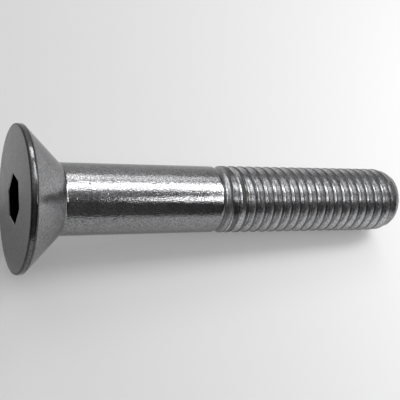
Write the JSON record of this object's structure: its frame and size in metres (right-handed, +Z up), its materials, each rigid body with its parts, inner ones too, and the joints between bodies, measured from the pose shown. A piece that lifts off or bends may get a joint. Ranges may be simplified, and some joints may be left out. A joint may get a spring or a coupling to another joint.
{
  "type": "countersunk socket screw",
  "caption": "Partly threaded metric machine screw with a flat countersunk head, hexagon socket, plain shank and domed tip, in bright steel.",
  "frame": {"origin": "centre of the bounding box in plan, on the floor that the screw lies on", "axes": "+X from the head towards the tip, +Z up; the screw rests on its head's rim and its tip, so its own axis falls 5.1 degrees towards +X"},
  "size_m": [0.061, 0.02, 0.02],
  "materials": {
    "steel": "bright rolled and turned stainless steel, lightly scuffed"
  },
  "bodies": {
    "root": {"screw": "steel"}
  },
  "joints": []
}
